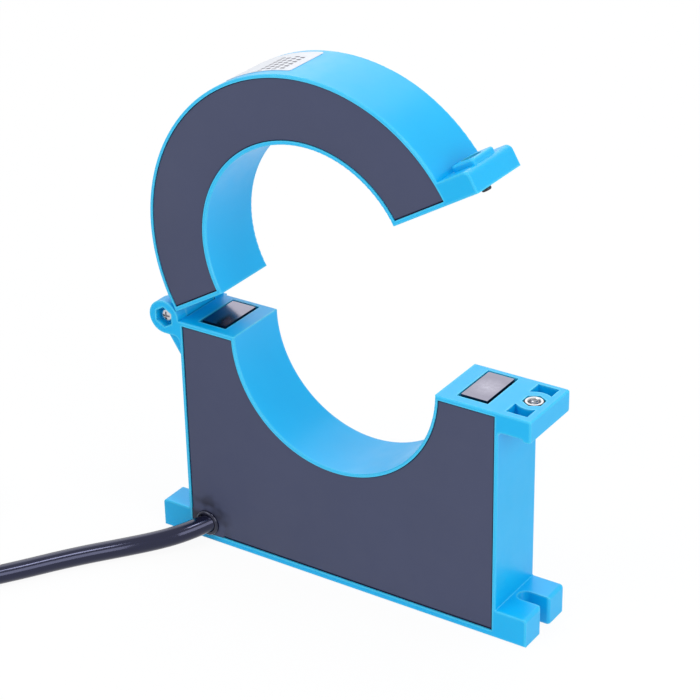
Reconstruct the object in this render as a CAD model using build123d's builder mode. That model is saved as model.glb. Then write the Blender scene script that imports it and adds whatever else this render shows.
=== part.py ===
"""Hinged split-core current transformer with a captive output cable.

Millimetres. The origin is the middle of the underside. +X points to the latch side, +Y to the back
and +Z up. The conductor passes through the window along Y. The arm is modelled open, at its rest angle.
"""
from math import cos, pi, radians, sin, sqrt, tan
import os

from build123d import *

os.makedirs("parts", exist_ok=True)

# Conductor window, base and arm
window_r = 42.5
arm_outer_r = 67.5
depth = 28.6
axis_h = 91.0
case_gap = 0.3
rest_open_deg = 30.4

# Walls of the two plastic shells
wall_t = 1.2
arm_bore_wall_t = 1.5
joint_wall_t = 1.6
floor_t = 2.5
back_t = 2.0
potting_recess = 0.6
edge_r = 0.5
base_back_edge_r = 1.6

# Latch plate on the base and flange on the arm
plate_w = 12.7
plate_t = 7.5
lip_w = 3.0
lip_drop = 1.0
flange_t = 8.3
flange_edge_r = 2.4
plate_corner_r = 0.8
plate_root_r = 1.6

# Latch screw and the nut that it enters
latch_inset = 6.6
screw_r = 2.0
screw_len = 8.0
screw_head_r = 3.5
screw_head_h = 4.0
socket_af = 3.0
socket_depth = 2.2
screw_lift = 1.5
head_clear = 0.25
hole_clear = 0.25
thread_clear = 0.06
seat_t = 3.5
screw_washer_r = 3.4
screw_washer_t = 1.0
screw_washer_clear = 0.12
screw_washer_split = 0.7
block_shift = 0.4
block_half_w = 4.8
block_half_d = 6.8
block_h = 2.2
block_corner_r = 1.2
block_edge_r = 0.8
retainer_r = 3.1
retainer_t = 1.4
retainer_proud = 0.25
retainer_clear = 0.05
nut_af = 7.0
nut_t = 3.2
nut_chamfer = 0.4
nut_clear = 0.15
nut_sink = 0.1

# Cored pockets round the nut's boss
boss_r = 6.6
pocket_in = 5.1
pocket_side_t = 2.9
pocket_end_t = 3.0
pocket_root_t = 1.5
pocket_depth = 6.0

# Mounting feet
foot_len = 12.5
foot_h = 11.3
slot_w = 6.0
slot_len = 11.0
foot_corner_r = 0.4
foot_top_r = 1.4
slot_mouth_r = 1.2

# Hinge: the pin screw is held in the base's ears and runs in the arm's knuckle
ear_r = 6.5
ear_t = 5.5
ear_clear = 0.3
ear_web_r = 2.4
hinge_pin_r = 1.5
pin_run_clear = 0.08
pin_head_r = 2.7
pin_head_h = 1.8
pin_recess_af = 7.0
pin_recess_depth = 3.2
pin_nut_af = 5.5
pin_nut_t = 2.4
pin_nut_clear = 0.1
pin_nut_depth = 3.0
pin_end_proud = 0.3
pin_slot_w = 0.8
pin_slot_len = 3.4
pin_slot_depth = 0.9
gusset_drop = 16.0
gusset_inset = 1.5
gusset_lead = 0.5
knuckle_web_h = 5.5

# Split magnetic core
core_room = 6.0
core_depth = 19.0
core_y = 0.5
pole_gap = 0.05
pole_room_x = 1.0
pole_room_y = 1.3

# Secondary coil on the lower half of the core
winding_deg = 148.0
cheek_deg = 1.6
former_t = 0.8
former_clear = 0.1
copper_t = 0.9
tape_t = 0.2

# Circuit board with its burden resistor and surge suppressor
board_w = 76.0
board_h = 18.0
board_t = 1.6
board_low = 6.0
board_gap = 3.0
resistor_r = 3.0
resistor_len = 15.0
resistor_x = 14.0
varistor_r = 5.0
varistor_t = 4.0
varistor_x = -8.0
component_gap = 0.6
lead_r = 0.4
lead_rise = 3.0
wire_r = 0.7
winding_lead_x = 24.0
board_pad_x = -32.0

# Rating label on the arm
label_t = 0.15
label_from_deg = 65.4
label_to_deg = 90.0
label_w = 21.5
label_y = 0.9

# Output cable and its collar
cable_r = 3.6
collar_r = 5.2
collar_t = 1.1
collar_edge_r = 0.45
resin_rise_r = 5.6
tail_len = 19.0
cable_core_r = 0.9
cable_core_gap = 0.3

# Points of the cable's visible run, from the collar to the coil
cable_route = [
    (-59.5, -16.2, 7.25),
    (-62.2, -22.0, 6.5),
    (-69.0, -30.0, 4.8),
    (-78.6, -39.9, cable_r),
    (-91.4, -56.1, cable_r),
    (-104.6, -76.8, cable_r),
    (-118.9, -96.1, cable_r),
    (-138.0, -107.1, cable_r),
    (-155.5, -109.0, cable_r),
]

# Coil of the stored length
coil_mid_r = 37.5
coil_lead_in = 26.0
coil_last_turn_deg = 200.0
coil_edge_r = 2.4
core_end_deg = 26.0
ferrule_deg = 9.0
ferrule_r = 1.2
ferrule_gap = 0.3
tie_w = 4.0
tie_t = 0.9
tie_from_lead_deg = 90.0
tie_head = 5.2
tie_head_h = 3.4

# Values that follow
front_y = -depth / 2
back_y = depth / 2
body_half_w = arm_outer_r
plate_reach = body_half_w + plate_w
latch_x = plate_reach - latch_inset
block_x = latch_x + block_shift
foot_reach = body_half_w + foot_len
slot_mid = foot_reach - slot_len + slot_w / 2
hinge_x = -(arm_outer_r + ear_clear + ear_r)
hinge_z = axis_h + case_gap / 2
knuckle_r = ear_r - ear_clear
core_in_r = window_r + arm_bore_wall_t + core_room
core_out_r = arm_outer_r - wall_t - core_room
core_mid_r = (core_in_r + core_out_r) / 2
core_w = core_out_r - core_in_r
pole_window = (core_w + 2 * pole_room_x, core_depth + 2 * pole_room_y)
tilt = radians(rest_open_deg)
arm_x = Vector(cos(tilt), 0, sin(tilt))
arm_up = Vector(-sin(tilt), 0, cos(tilt))
arm_origin = Vector(hinge_x, 0, hinge_z) - arm_x * hinge_x + arm_up * (axis_h + case_gap - hinge_z)
base_axis = Axis((0, 0, axis_h), (0, 1, 0))
arm_axis = Axis(arm_origin, (0, -1, 0))


def base_side(y):
    """Plane facing the front at depth y, with its origin on the window's axis at the base's height 0"""
    return Plane(origin=(0, y, 0), x_dir=(1, 0, 0), z_dir=(0, -1, 0))


def arm_side(y):
    """Plane facing the front at depth y, with its origin on the arm's window axis"""
    return Plane(origin=arm_origin + Vector(0, y, 0), x_dir=arm_x, z_dir=(0, -1, 0))


def arm_level(h):
    """Plane parallel to the arm's joint face, h above it"""
    return Plane(origin=arm_origin + arm_up * h, x_dir=arm_x, z_dir=arm_up)


def base_radial(deg):
    """Plane through the base's window axis, turned down from +X by the angle"""
    a = radians(deg)
    return Plane(origin=(0, 0, axis_h), x_dir=(cos(a), 0, -sin(a)), z_dir=(sin(a), 0, cos(a)))


def arm_radial(deg):
    """Plane through the arm's window axis, turned up from the latch side by the angle"""
    a = radians(deg)
    return Plane(
        origin=arm_origin,
        x_dir=arm_x * cos(a) + arm_up * sin(a),
        z_dir=arm_up * cos(a) - arm_x * sin(a),
    )


def near(items, *spots):
    """Vertices of a sketch that lie at the given spots"""
    return [v for v in items if any(abs(v.X - x) + abs(v.Y - y) < 0.01 for x, y in spots)]


def finish(part, name, colour):
    part.label = name
    part.color = Color(*colour)
    export_step(part, f"parts/{name}.step")


blue = (0.16, 0.66, 0.93)
resin = (0.30, 0.32, 0.42)
steel = (0.74, 0.74, 0.76)
dark = (0.10, 0.10, 0.12)
copper = (0.72, 0.40, 0.18)
pale = (0.80, 0.82, 0.84)
tape_yellow = (0.80, 0.66, 0.20)
board_green = (0.10, 0.36, 0.20)


# Base shell
def base_cavity():
    """Outline of the base's hollow, drawn in the sketch that is open"""
    with Locations((0, floor_t)):
        Rectangle(
            2 * (body_half_w - wall_t),
            axis_h - joint_wall_t - floor_t,
            align=(Align.CENTER, Align.MIN),
        )
    with Locations((0, axis_h)):
        Circle(window_r + wall_t, mode=Mode.SUBTRACT)


def ear_outline():
    """A hinge ear and its web to the base's left wall, drawn in the sketch that is open"""
    ear_low = hinge_z - ear_r
    web_low = ear_low - ear_web_r
    web_end = -body_half_w + wall_t
    with BuildLine() as web:
        under = Line((hinge_x, ear_low), (-body_half_w - ear_web_r, ear_low))
        RadiusArc(under @ 1, (-body_half_w, web_low), ear_web_r)
        Polyline(
            (-body_half_w, web_low),
            (web_end, web_low),
            (web_end, axis_h),
            (hinge_x, axis_h),
            (hinge_x, ear_low),
        )
    make_face(web.edges())
    with Locations((hinge_x, hinge_z)):
        Circle(ear_r)


with BuildPart() as lower_case:
    with BuildSketch(base_side(front_y)) as outline:
        Rectangle(2 * body_half_w, axis_h, align=(Align.CENTER, Align.MIN))
        with Locations((body_half_w - wall_t, axis_h)):
            Rectangle(plate_reach - body_half_w + wall_t, plate_t, align=(Align.MIN, Align.MAX))
        with Locations((plate_reach, axis_h)):
            Rectangle(lip_w, plate_t + lip_drop, align=(Align.MAX, Align.MAX))
        Rectangle(2 * foot_reach, foot_h, align=(Align.CENTER, Align.MIN))
        with Locations((0, axis_h)):
            Circle(window_r, mode=Mode.SUBTRACT)
        fillet(
            near(outline.vertices(), (plate_reach, axis_h - plate_t - lip_drop), (plate_reach, axis_h)),
            plate_corner_r,
        )
        fillet(near(outline.vertices(), (plate_reach - lip_w, axis_h - plate_t)), lip_drop * 0.9)
        fillet(near(outline.vertices(), (body_half_w, axis_h - plate_t)), plate_root_r)
        fillet(near(outline.vertices(), (body_half_w, foot_h), (-body_half_w, foot_h)), foot_corner_r)
        fillet(near(outline.vertices(), (foot_reach, foot_h), (-foot_reach, foot_h)), foot_top_r)
    extrude(amount=-depth)
    for rim_y, rim_r in ((front_y, edge_r), (back_y, base_back_edge_r)):
        fillet([e for e in lower_case.edges() if abs(e.center().Y - rim_y) < 0.01], rim_r)
    with BuildSketch(base_side(front_y)):
        base_cavity()
    extrude(amount=-(depth - back_t), mode=Mode.SUBTRACT)
    # Windows for the poles, in the wall under the joint plane
    with BuildSketch(Plane.XY.offset(axis_h)):
        with Locations((core_mid_r, core_y), (-core_mid_r, core_y)):
            Rectangle(*pole_window)
    extrude(amount=-joint_wall_t, mode=Mode.SUBTRACT)
    # Pockets round the boss that holds the latch nut
    with BuildSketch(Plane.XY.offset(axis_h)):
        pocket_w = plate_reach - pocket_end_t - body_half_w - pocket_root_t
        pocket_d = back_y - pocket_side_t - pocket_in
        for side in (1, -1):
            with Locations((body_half_w + pocket_root_t + pocket_w / 2, side * (pocket_in + pocket_d / 2))):
                Rectangle(pocket_w, pocket_d)
        with Locations((latch_x, 0)):
            Circle(boss_r, mode=Mode.SUBTRACT)
    extrude(amount=-pocket_depth, mode=Mode.SUBTRACT)
    # Seat of the latch nut and the screw's way through
    with BuildSketch(Plane.XY.offset(axis_h)):
        with Locations((latch_x, 0)):
            RegularPolygon(nut_af / 2 + nut_clear, 6, major_radius=False, rotation=30)
    extrude(amount=-(nut_t + nut_sink), mode=Mode.SUBTRACT)
    with BuildSketch(Plane.XY.offset(axis_h)):
        with Locations((latch_x, 0)):
            Circle(screw_r + hole_clear)
    extrude(amount=-(plate_t + lip_drop), mode=Mode.SUBTRACT)
    # Open slots of the feet, with rounded mouths
    with BuildSketch(Plane.XY) as slots:
        for side in (1, -1):
            with Locations((side * slot_mid, 0)):
                Circle(slot_w / 2)
            with Locations((side * (slot_mid + foot_reach) / 2, 0)):
                Rectangle(foot_reach - slot_mid, slot_w)
            with Locations((side * (foot_reach + slot_mouth_r), 0)):
                Rectangle(2 * slot_mouth_r, slot_w + 4 * slot_mouth_r)
        corners = [(x, y) for x in (foot_reach, -foot_reach) for y in (slot_w / 2, -slot_w / 2)]
        fillet(near(slots.vertices(), *corners), slot_mouth_r)
    extrude(amount=foot_h, mode=Mode.SUBTRACT)
    # Hinge ears, the gusset under them and the pin's holes
    for ear_front in (front_y, back_y - ear_t):
        with BuildSketch(base_side(ear_front)):
            ear_outline()
        extrude(amount=-ear_t)
    with BuildSketch(base_side(front_y + gusset_inset)):
        Polygon(
            (-body_half_w + wall_t, hinge_z - gusset_drop),
            (-body_half_w, hinge_z - gusset_drop),
            (hinge_x + gusset_lead, hinge_z - ear_r),
            (hinge_x + gusset_lead, axis_h),
            (-body_half_w + wall_t, axis_h),
            align=None,
        )
        with Locations((hinge_x, hinge_z)):
            Circle(ear_r + ear_clear, mode=Mode.SUBTRACT)
    extrude(amount=-(depth - 2 * gusset_inset))
    with BuildSketch(base_side(front_y)):
        with Locations((hinge_x, hinge_z)):
            Circle(hinge_pin_r + pin_run_clear)
    extrude(amount=-depth, mode=Mode.SUBTRACT)
    with BuildSketch(base_side(front_y)):
        with Locations((hinge_x, hinge_z)):
            RegularPolygon(pin_recess_af / 2, 6, major_radius=False, rotation=30)
    extrude(amount=-pin_recess_depth, mode=Mode.SUBTRACT)
    with BuildSketch(base_side(back_y)):
        with Locations((hinge_x, hinge_z)):
            RegularPolygon(pin_nut_af / 2 + pin_nut_clear, 6, major_radius=False, rotation=30)
    extrude(amount=pin_nut_depth, mode=Mode.SUBTRACT)

finish(lower_case.part, "lower_case", blue)


def core_section(grow=0.0, mode=Mode.ADD):
    """Section of the core, or of a box that stands off its faces"""
    with Locations((core_mid_r, core_y)):
        Rectangle(core_w + 2 * grow, core_depth + 2 * grow, mode=mode)


# Lower half of the core, with its poles just proud of the base
with BuildPart() as lower_core:
    with BuildSketch(base_radial(0)):
        core_section()
    revolve(axis=base_axis, revolution_arc=180)
    with BuildSketch(Plane.XY.offset(axis_h)):
        with Locations((core_mid_r, core_y), (-core_mid_r, core_y)):
            Rectangle(core_w, core_depth)
    extrude(amount=case_gap - pole_gap)
finish(lower_core.part, "lower_core", steel)

# Former with end cheeks, copper and tape, each a bent box round the one inside it
winding_start = (180 - winding_deg) / 2
former_out = former_clear + former_t
copper_out = former_out + copper_t
tape_out = copper_out + tape_t
with BuildPart() as winding_former:
    with BuildSketch(base_radial(winding_start)):
        core_section(former_out)
        core_section(former_clear, Mode.SUBTRACT)
    revolve(axis=base_axis, revolution_arc=winding_deg)
    for cheek_start in (winding_start - cheek_deg, winding_start + winding_deg):
        with BuildSketch(base_radial(cheek_start)):
            core_section(tape_out)
            core_section(former_clear, Mode.SUBTRACT)
        revolve(axis=base_axis, revolution_arc=cheek_deg)
finish(winding_former.part, "winding_former", dark)

with BuildPart() as secondary_winding:
    with BuildSketch(base_radial(winding_start)):
        core_section(copper_out)
        core_section(former_out, Mode.SUBTRACT)
    revolve(axis=base_axis, revolution_arc=winding_deg)
finish(secondary_winding.part, "secondary_winding", copper)

with BuildPart() as winding_tape:
    with BuildSketch(base_radial(winding_start)):
        core_section(tape_out)
        core_section(copper_out, Mode.SUBTRACT)
    revolve(axis=base_axis, revolution_arc=winding_deg)
finish(winding_tape.part, "winding_tape", tape_yellow)

# Circuit board, upright near the back wall
board_back_y = back_y - back_t - board_gap
board_front_y = board_back_y - board_t
board_mid_z = board_low + board_h / 2
with BuildPart() as circuit_board:
    with BuildSketch(base_side(board_front_y)):
        with Locations((0, board_mid_z)):
            Rectangle(board_w, board_h)
    extrude(amount=-board_t)
finish(circuit_board.part, "circuit_board", board_green)

# Burden resistor: a round body along the board with a lead at each end
resistor_y = board_front_y - component_gap - resistor_r
with BuildPart() as burden_resistor:
    with BuildSketch(Plane.YZ.offset(resistor_x - resistor_len / 2)):
        with Locations((resistor_y, board_mid_z)):
            Circle(resistor_r)
    extrude(amount=resistor_len)
    fillet(burden_resistor.edges().filter_by(GeomType.CIRCLE), resistor_r / 4)
    with BuildSketch(Plane.YZ.offset(resistor_x - resistor_len / 2 - lead_rise)):
        with Locations((resistor_y, board_mid_z)):
            Circle(lead_r)
    extrude(amount=resistor_len + 2 * lead_rise)
    with BuildSketch(base_side(board_front_y)):
        with Locations((resistor_x, board_mid_z)):
            with GridLocations(resistor_len + 2 * lead_rise - 2 * lead_r, 0, 2, 1):
                Circle(lead_r)
    extrude(amount=component_gap + resistor_r + lead_r)
finish(burden_resistor.part, "burden_resistor", tape_yellow)

# Surge suppressor: a disc that stands off the board on two leads
with BuildPart() as surge_suppressor:
    with BuildSketch(base_side(board_front_y - component_gap)):
        with Locations((varistor_x, board_mid_z)):
            Circle(varistor_r)
    extrude(amount=varistor_t)
    fillet(surge_suppressor.edges().filter_by(GeomType.CIRCLE), varistor_t / 4)
    with BuildSketch(base_side(board_front_y)):
        with Locations((varistor_x, board_mid_z)):
            with GridLocations(varistor_r, 0, 2, 1):
                Circle(lead_r)
    extrude(amount=component_gap + varistor_t / 2)
finish(surge_suppressor.part, "surge_suppressor", blue)

# Two insulated leads from the winding down to the board
winding_low_r = core_out_r + tape_out
lead_top = axis_h - former_clear - sqrt(winding_low_r**2 - (winding_lead_x - wire_r) ** 2)
lead_bend_z = board_low + board_h - lead_rise
with BuildPart() as winding_leads:
    for x in (winding_lead_x, -winding_lead_x):
        with BuildLine():
            lead_run = FilletPolyline(
                (x, board_front_y - lead_rise, lead_top),
                (x, board_front_y - lead_rise, lead_bend_z),
                (x, board_front_y, lead_bend_z),
                radius=2 * wire_r,
            )
        with BuildSketch(Plane(origin=lead_run @ 0, z_dir=lead_run % 0)):
            Circle(wire_r)
        sweep(path=lead_run)
finish(winding_leads.part, "winding_leads", dark)

# Jacketed end of the cable inside the base
route = [Vector(*point) for point in cable_route]
runs = [b - a for a, b in zip(route, route[1:])]
exit_dir = runs[0].normalized()
with BuildPart() as cable_tail:
    with BuildSketch(Plane(origin=route[0], z_dir=exit_dir)):
        Circle(cable_r)
    extrude(amount=-tail_len)
finish(cable_tail.part, "cable_tail", dark)

# Its two cores, stripped and soldered to the board
tail_end = route[0] - exit_dir * tail_len
with BuildPart() as tail_cores:
    for side in (1, -1):
        core_start = tail_end + Vector(0, 0, side * (cable_core_r + cable_core_gap))
        pad_z = board_mid_z + side * lead_rise
        with BuildLine():
            core_run = FilletPolyline(
                core_start,
                core_start - exit_dir * lead_rise,
                (board_pad_x, board_front_y - lead_rise, pad_z),
                (board_pad_x, board_front_y, pad_z),
                radius=lead_rise / 2,
            )
        with BuildSketch(Plane(origin=core_run @ 0, z_dir=core_run % 0)):
            Circle(cable_core_r)
        sweep(path=core_run)
    add(cable_tail.part, mode=Mode.SUBTRACT)
finish(tail_cores.part, "tail_cores", copper)

# Collar round the cable where it leaves the resin
collar_at = route[0] + exit_dir * ((front_y - collar_t / 2 - route[0].Y) / exit_dir.Y)
with BuildPart() as cable_collar:
    with BuildSketch(base_side(front_y)):
        with Locations((collar_at.X, collar_at.Z)):
            Circle(collar_r)
    extrude(amount=collar_t)
    fillet(cable_collar.edges().filter_by(GeomType.CIRCLE).sort_by(Axis.Y)[0], collar_edge_r)
    with BuildSketch(Plane(origin=route[0], z_dir=exit_dir)):
        Circle(cable_r)
    extrude(amount=collar_r, both=True, mode=Mode.SUBTRACT)
finish(cable_collar.part, "cable_collar", dark)

# Resin in the base, cast round everything inside and up to the collar
with BuildPart() as lower_potting:
    with BuildSketch(base_side(front_y + potting_recess)):
        base_cavity()
    extrude(amount=-(depth - back_t - potting_recess))
    with BuildSketch(base_side(front_y + potting_recess)):
        base_cavity()
        with Locations((collar_at.X, collar_at.Z)):
            Circle(resin_rise_r, mode=Mode.INTERSECT)
    extrude(amount=potting_recess)
    for piece in (
        lower_core,
        winding_former,
        secondary_winding,
        winding_tape,
        circuit_board,
        burden_resistor,
        surge_suppressor,
        winding_leads,
        cable_tail,
        tail_cores,
    ):
        add(piece.part, mode=Mode.SUBTRACT)
finish(lower_potting.part, "lower_potting", resin)

# Hinge screw, from the front ear's recess to the nut in the rear ear
pin_seat_y = front_y + pin_recess_depth
pin_nut_y = back_y - pin_nut_depth
pin_end_y = pin_nut_y + pin_nut_t + pin_end_proud
with BuildPart() as hinge_screw:
    with BuildSketch(base_side(pin_seat_y)):
        with Locations((hinge_x, hinge_z)):
            Circle(pin_head_r)
    extrude(amount=pin_head_h)
    fillet(hinge_screw.edges().sort_by(Axis.Y)[0], pin_head_h / 4)
    with BuildSketch(base_side(pin_seat_y)):
        with Locations((hinge_x, hinge_z)):
            Circle(hinge_pin_r)
    extrude(amount=-(pin_end_y - pin_seat_y))
    with BuildSketch(base_side(pin_seat_y - pin_head_h)):
        with Locations((hinge_x, hinge_z)):
            Rectangle(pin_slot_len, pin_slot_w)
            Rectangle(pin_slot_w, pin_slot_len)
    extrude(amount=-pin_slot_depth, mode=Mode.SUBTRACT)
finish(hinge_screw.part, "hinge_screw", steel)

with BuildPart() as hinge_nut:
    with BuildSketch(base_side(pin_nut_y)):
        with Locations((hinge_x, hinge_z)):
            RegularPolygon(pin_nut_af / 2, 6, major_radius=False, rotation=30)
            Circle(hinge_pin_r + thread_clear, mode=Mode.SUBTRACT)
    extrude(amount=-pin_nut_t)
finish(hinge_nut.part, "hinge_nut", steel)

# Latch nut in the top of the plate
with BuildPart() as latch_nut:
    with BuildSketch(Plane.XY.offset(axis_h - nut_sink - nut_t)):
        with Locations((latch_x, 0)):
            RegularPolygon(nut_af / 2, 6, major_radius=False, rotation=30)
    extrude(amount=nut_t)
    with BuildSketch(Plane.XY.offset(axis_h - nut_sink)):
        with Locations((latch_x, 0)):
            Circle(screw_r + nut_chamfer)
    extrude(amount=-nut_chamfer, taper=45, mode=Mode.SUBTRACT)
    with BuildSketch(Plane.XY.offset(axis_h - nut_sink - nut_t)):
        with Locations((latch_x, 0)):
            Circle(screw_r + thread_clear)
    extrude(amount=nut_t, mode=Mode.SUBTRACT)
finish(latch_nut.part, "latch_nut", steel)


# Arm shell
def arm_half_ring(outer, inner, level):
    """Half ring above a level of the arm's joint face, drawn in the sketch that is open"""
    Circle(outer)
    with Locations((0, level)):
        Rectangle(2 * outer, outer, align=(Align.CENTER, Align.MIN), mode=Mode.INTERSECT)
    Circle(inner, mode=Mode.SUBTRACT)


with BuildPart() as upper_case:
    with BuildSketch(arm_side(front_y)) as arm_outline:
        arm_half_ring(arm_outer_r, window_r, 0)
        with Locations((core_mid_r, 0)):
            Rectangle(plate_reach - core_mid_r, flange_t, align=(Align.MIN, Align.MIN))
        fillet(near(arm_outline.vertices(), (plate_reach, flange_t)), flange_edge_r)
    extrude(amount=-depth)
    for rim_y in (front_y, back_y):
        fillet([e for e in upper_case.edges() if abs(e.center().Y - rim_y) < 0.01], edge_r)
    with BuildSketch(arm_side(front_y)):
        arm_half_ring(arm_outer_r - wall_t, window_r + arm_bore_wall_t, joint_wall_t)
    extrude(amount=-(depth - back_t), mode=Mode.SUBTRACT)
    with BuildSketch(arm_level(0)):
        with Locations((core_mid_r, core_y), (-core_mid_r, core_y)):
            Rectangle(*pole_window)
    extrude(amount=joint_wall_t, mode=Mode.SUBTRACT)
    # Raised block round the latch screw
    with BuildSketch(arm_level(flange_t - block_edge_r)):
        with Locations((block_x, 0)):
            RectangleRounded(2 * block_half_w, 2 * block_half_d, block_corner_r)
    extrude(amount=block_edge_r + block_h)
    block_top = arm_origin.dot(arm_up) + flange_t + block_h
    top_edges = [e for e in upper_case.edges() if abs(e.center().dot(arm_up) - block_top) < 0.01]
    fillet(top_edges, block_edge_r)
    # Counterbore, screw hole and the retainer's recess
    with BuildSketch(arm_level(seat_t)):
        with Locations((latch_x, 0)):
            Circle(screw_head_r + head_clear)
    extrude(amount=flange_t + block_h - seat_t, mode=Mode.SUBTRACT)
    with BuildSketch(arm_level(0)):
        with Locations((latch_x, 0)):
            Circle(screw_r + hole_clear)
    extrude(amount=seat_t, mode=Mode.SUBTRACT)
    with BuildSketch(arm_level(0)):
        with Locations((latch_x, 0)):
            Circle(retainer_r + retainer_clear)
    extrude(amount=retainer_t - retainer_proud, mode=Mode.SUBTRACT)
    # Knuckle between the ears, with its web into the arm
    hinge_level = hinge_z - axis_h - case_gap
    with BuildSketch(arm_side(front_y + ear_t + ear_clear)):
        with Locations((hinge_x, hinge_level)):
            Circle(knuckle_r)
        with Locations((hinge_x, 0)):
            Rectangle(
                -hinge_x - arm_outer_r + wall_t,
                knuckle_web_h,
                align=(Align.MIN, Align.MIN),
            )
        with Locations((hinge_x, hinge_level)):
            Circle(hinge_pin_r + pin_run_clear, mode=Mode.SUBTRACT)
    extrude(amount=-(depth - 2 * (ear_t + ear_clear)))
finish(upper_case.part, "upper_case", blue)

# Upper half of the core, flush with the arm's joint face
with BuildPart() as upper_core:
    with BuildSketch(arm_radial(0)):
        core_section()
    revolve(axis=arm_axis, revolution_arc=180)
finish(upper_core.part, "upper_core", steel)

with BuildPart() as upper_potting:
    with BuildSketch(arm_side(front_y + potting_recess)):
        arm_half_ring(arm_outer_r - wall_t, window_r + arm_bore_wall_t, joint_wall_t)
    extrude(amount=-(depth - back_t - potting_recess))
    add(upper_core.part, mode=Mode.SUBTRACT)
finish(upper_potting.part, "upper_potting", resin)

with BuildPart() as rating_label:
    with BuildSketch(arm_radial(label_from_deg)):
        with Locations((arm_outer_r, label_y)):
            Rectangle(label_t, label_w, align=(Align.MIN, Align.CENTER))
    revolve(axis=arm_axis, revolution_arc=label_to_deg - label_from_deg)
finish(rating_label.part, "rating_label", pale)

# Nylon ring that keeps the latch screw in the arm
with BuildPart() as screw_retainer:
    with BuildSketch(arm_level(-retainer_proud)):
        with Locations((latch_x, 0)):
            Circle(retainer_r)
            Circle(screw_r + thread_clear, mode=Mode.SUBTRACT)
    extrude(amount=retainer_t)
finish(screw_retainer.part, "screw_retainer", dark)

# Split lock washer, captive under the screw's head
washer_level = seat_t + screw_lift
with BuildPart() as spring_washer:
    with BuildSketch(arm_level(washer_level)):
        with Locations((latch_x, 0)):
            Circle(screw_washer_r)
            Circle(screw_r + screw_washer_clear, mode=Mode.SUBTRACT)
        with Locations((latch_x, 0)):
            Rectangle(
                screw_washer_split,
                screw_washer_r,
                align=(Align.CENTER, Align.MAX),
                mode=Mode.SUBTRACT,
            )
    extrude(amount=screw_washer_t)
finish(spring_washer.part, "spring_washer", steel)

# Latch screw with its hexagon socket
head_level = washer_level + screw_washer_t
with BuildPart() as latch_screw:
    with BuildSketch(arm_level(head_level)):
        with Locations((latch_x, 0)):
            Circle(screw_head_r)
    extrude(amount=screw_head_h)
    crown = arm_origin.dot(arm_up) + head_level + screw_head_h
    crown_edge = [e for e in latch_screw.edges() if abs(e.center().dot(arm_up) - crown) < 0.01]
    fillet(crown_edge, screw_head_h / 10)
    with BuildSketch(arm_level(head_level)):
        with Locations((latch_x, 0)):
            Circle(screw_r)
    extrude(amount=-screw_len)
    with BuildSketch(arm_level(head_level + screw_head_h)):
        with Locations((latch_x, 0)):
            RegularPolygon(socket_af / 2, 6, major_radius=False)
    extrude(amount=-socket_depth, mode=Mode.SUBTRACT)
finish(latch_screw.part, "latch_screw", steel)

# Cable on the floor: straight runs joined by tangent arcs
bend_radii = []
for one, two in zip(runs, runs[1:]):
    half_turn = radians(one.get_angle(two)) / 2
    bend_radii.append(0.45 * min(one.length, two.length) / tan(half_turn))
with BuildPart() as signal_cable:
    with BuildLine():
        cable_run = FilletPolyline(*route, radius=bend_radii)
    with BuildSketch(Plane(origin=route[0], z_dir=exit_dir)):
        Circle(cable_r)
    sweep(path=cable_run)
finish(signal_cable.part, "signal_cable", dark)
print("cable bend radii", [round(r, 1) for r in bend_radii])
tube_by_hand = cable_run.length * pi * cable_r**2
print("cable volume over section times length", round(signal_cable.part.volume / tube_by_hand, 4))

# Stored length as a coil: a full layer, then a turn and a half on top of it
cable_d = 2 * cable_r
lead_dir = runs[-1].normalized()
coil_entry = route[-1] + lead_dir * coil_lead_in
outer_turn_r = coil_mid_r + cable_r
coil_mid = coil_entry + Vector(lead_dir.Y, -lead_dir.X, 0) * outer_turn_r
coil_mid = Vector(coil_mid.X, coil_mid.Y, 0)
to_entry = Vector(-lead_dir.Y, lead_dir.X, 0)


def coil_radial(deg):
    """Upright plane through the coil's axis, clockwise from the lead-in by the angle"""
    along = to_entry.rotate(Axis.Z, -deg)
    return Plane(origin=coil_mid, x_dir=along, z_dir=along.cross(Vector(0, 0, 1)))


coil_axis = Axis(coil_mid, (0, 0, -1))
with BuildPart() as coil_tie:
    with BuildSketch(coil_radial(tie_from_lead_deg).offset(-tie_w / 2)):
        with Locations((coil_mid_r, 0)):
            Rectangle(2 * (cable_d + tie_t), 2 * cable_d + tie_t, align=(Align.CENTER, Align.MIN))
        with Locations((coil_mid_r, tie_t)):
            Rectangle(2 * cable_d, 2 * cable_d - tie_t, align=(Align.CENTER, Align.MIN), mode=Mode.SUBTRACT)
        with Locations((coil_mid_r, 2 * cable_d)):
            Rectangle(tie_head, tie_t + tie_head_h, align=(Align.CENTER, Align.MIN))
    extrude(amount=tie_w)
finish(coil_tie.part, "coil_tie", dark)

with BuildPart() as cable_coil:
    with BuildSketch(coil_radial(0)):
        with Locations((coil_mid_r, cable_r)):
            RectangleRounded(2 * cable_d, cable_d, coil_edge_r)
        with Locations((coil_mid_r - cable_r, 3 * cable_r)):
            RectangleRounded(cable_d, cable_d, coil_edge_r)
    revolve(axis=coil_axis)
    with BuildSketch(coil_radial(0)):
        with Locations((outer_turn_r, 3 * cable_r)):
            RectangleRounded(cable_d, cable_d, coil_edge_r)
    revolve(axis=coil_axis, revolution_arc=coil_last_turn_deg)
    with BuildSketch(Plane(origin=route[-1], z_dir=lead_dir)):
        Circle(cable_r)
    extrude(amount=coil_lead_in)
    add(coil_tie.part, mode=Mode.SUBTRACT)
finish(cable_coil.part, "cable_coil", dark)

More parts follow.
